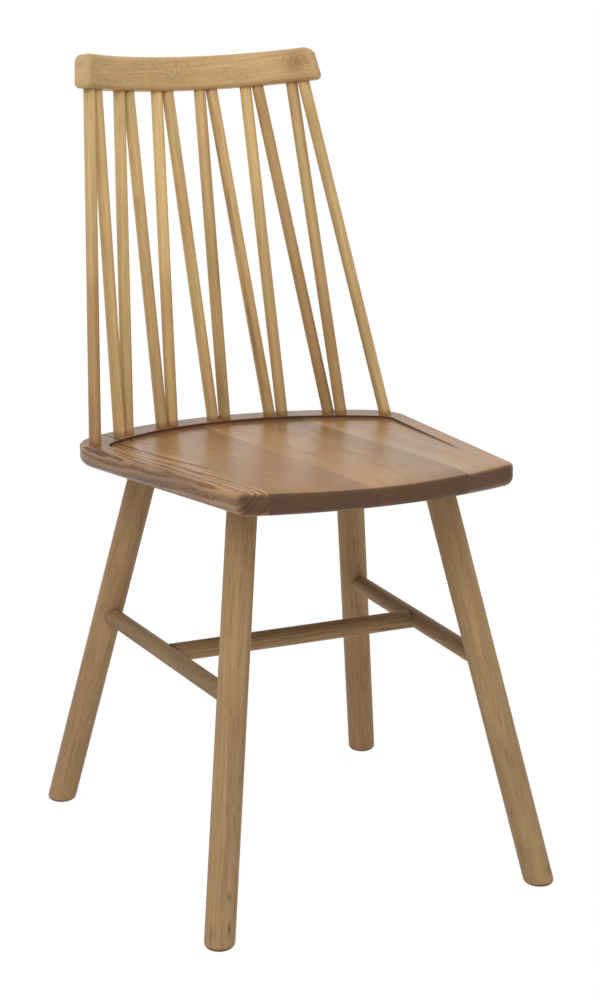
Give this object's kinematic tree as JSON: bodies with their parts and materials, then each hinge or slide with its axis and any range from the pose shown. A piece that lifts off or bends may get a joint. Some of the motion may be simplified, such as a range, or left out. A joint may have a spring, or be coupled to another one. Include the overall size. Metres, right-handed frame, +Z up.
{
  "type": "spindle-back dining chair",
  "caption": "Wooden dining chair with splayed round legs, an H of stretchers, a dished seat of edge-glued staves and a bowed crest rail on zigzag spindles.",
  "frame": {"origin": "on the floor, under the middle of the chair's bounding box", "axes": "+X to the right of someone in front of the chair, +Y towards its back, +Z up"},
  "size_m": [0.4254, 0.5552, 0.8587],
  "materials": {
    "oak_spindles": "matt oiled oak, long grain along the rod",
    "oak_seat": "matt oiled oak, long grain front to back",
    "oak_crest": "matt oiled oak, long grain along the bend",
    "oak_base": "matt oiled oak, long grain along the rod"
  },
  "bodies": {
    "root": {"spindle_01": "oak_spindles", "spindle_02": "oak_spindles", "spindle_03": "oak_spindles", "spindle_04": "oak_spindles", "spindle_05": "oak_spindles", "spindle_06": "oak_spindles", "spindle_07": "oak_spindles", "spindle_08": "oak_spindles", "spindle_09": "oak_spindles", "spindle_10": "oak_spindles", "spindle_11": "oak_spindles", "spindle_12": "oak_spindles", "seat_stave_left_outer": "oak_seat", "seat_stave_left_inner": "oak_seat", "seat_stave_right_inner": "oak_seat", "seat_stave_right_outer": "oak_seat", "crest_rail": "oak_crest", "leg_front_left": "oak_base", "leg_front_right": "oak_base", "leg_rear_left": "oak_base", "leg_rear_right": "oak_base", "side_stretcher_left": "oak_base", "side_stretcher_right": "oak_base", "cross_stretcher": "oak_base"}
  },
  "joints": []
}
